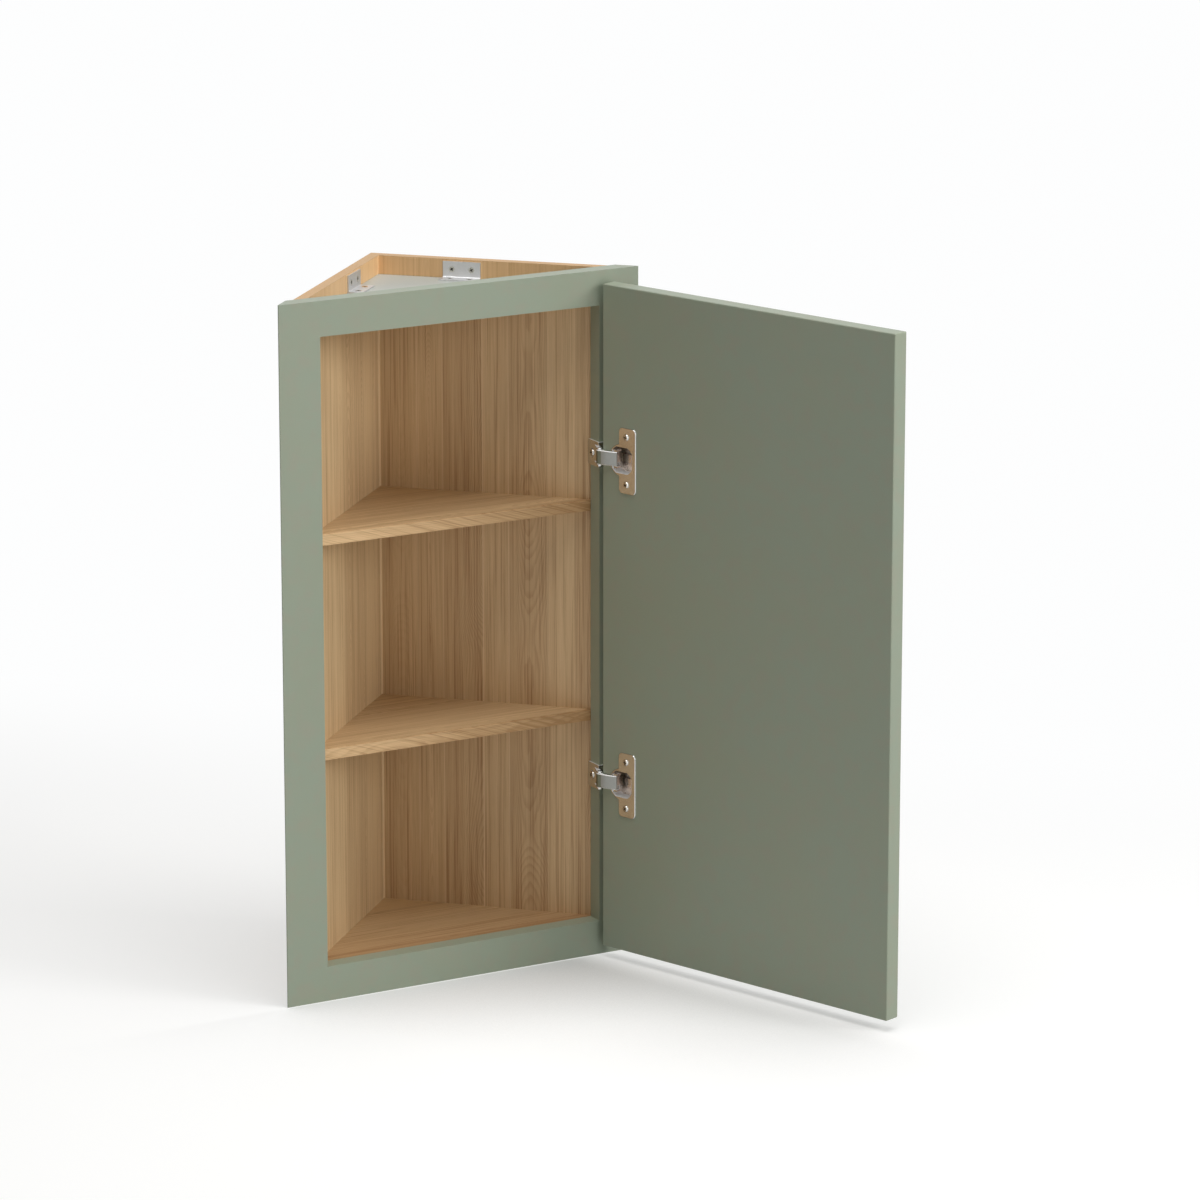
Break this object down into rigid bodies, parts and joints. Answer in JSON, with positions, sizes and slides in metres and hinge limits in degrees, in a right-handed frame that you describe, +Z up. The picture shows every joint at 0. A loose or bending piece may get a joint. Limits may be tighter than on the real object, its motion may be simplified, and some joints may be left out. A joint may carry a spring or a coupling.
{
  "type": "corner wall cabinet",
  "caption": "Diagonal corner wall cabinet with a painted face frame, two fixed shelves and one slab door on concealed cup hinges.",
  "frame": {"origin": "lower end of the corner line of the two wall panels' outer faces", "axes": "+Z up; the back panel lies along +X with its outer face on Y = 0, facing +Y; the side panel lies along -Y with its outer face on X = 0, facing -X; the door side faces +X and -Y at 45 degrees"},
  "size_m": [0.6408, 0.3036, 0.762],
  "materials": {
    "sage_paint": "satin sage-green paint on wood",
    "oak_veneer": "clear matt lacquer on oak-faced board, vertical grain",
    "oak_lipping": "clear matt lacquer on solid oak strip",
    "grey_faced_board": "pale grey facing on the upper side, oak below",
    "dowel_beech": "plain beech",
    "nickel_bracket": "zinc-plated sheet",
    "nickel_hinge": "bright nickel-plated sheet",
    "pin_steel": "plated steel",
    "screw_steel": "bright zinc-plated screw"
  },
  "bodies": {
    "cabinet": {"left_stile": "sage_paint", "right_stile": "sage_paint", "top_rail": "sage_paint", "bottom_rail": "sage_paint", "back_panel": "oak_veneer", "side_panel": "oak_veneer", "bottom_board": "oak_veneer", "shelf_1": "oak_veneer", "shelf_2": "oak_veneer", "top_board": "grey_faced_board", "shelf_1_lipping": "oak_lipping", "shelf_2_lipping": "oak_lipping", "frame_dowels": "dowel_beech", "side_bracket": "nickel_bracket", "back_bracket": "nickel_bracket", "lower_hinge_frame_plate": "nickel_hinge", "lower_hinge_knuckle_pin": "pin_steel", "upper_hinge_frame_plate": "nickel_hinge", "upper_hinge_knuckle_pin": "pin_steel", "bracket_screws": "screw_steel", "frame_plate_screws": "screw_steel"},
    "hinge_arms": {"lower_hinge_arm": "nickel_hinge", "upper_hinge_arm": "nickel_hinge"},
    "door": {"door_panel": "sage_paint", "cup_screws": "screw_steel", "lower_hinge_cup": "nickel_hinge", "lower_hinge_cup_pin": "pin_steel", "lower_hinge_spring": "pin_steel", "upper_hinge_cup": "nickel_hinge", "upper_hinge_cup_pin": "pin_steel", "upper_hinge_spring": "pin_steel"}
  },
  "joints": [
    {"name": "arm_swing", "type": "hinge", "parent": "cabinet", "child": "hinge_arms", "pos_m": [0.26642, -0.0377, 0.381], "axis": [0, 0, 1], "range_deg": [0, 62.07]},
    {"name": "door_swing", "type": "hinge", "parent": "hinge_arms", "child": "door", "pos_m": [0.28598, -0.04109, 0.381], "axis": [0, 0, 1], "range_deg": [-171.36, 0]}
  ],
  "couplings": [
    {"joint": "arm_swing", "follows": "door_swing", "ratio": -0.36217}
  ]
}
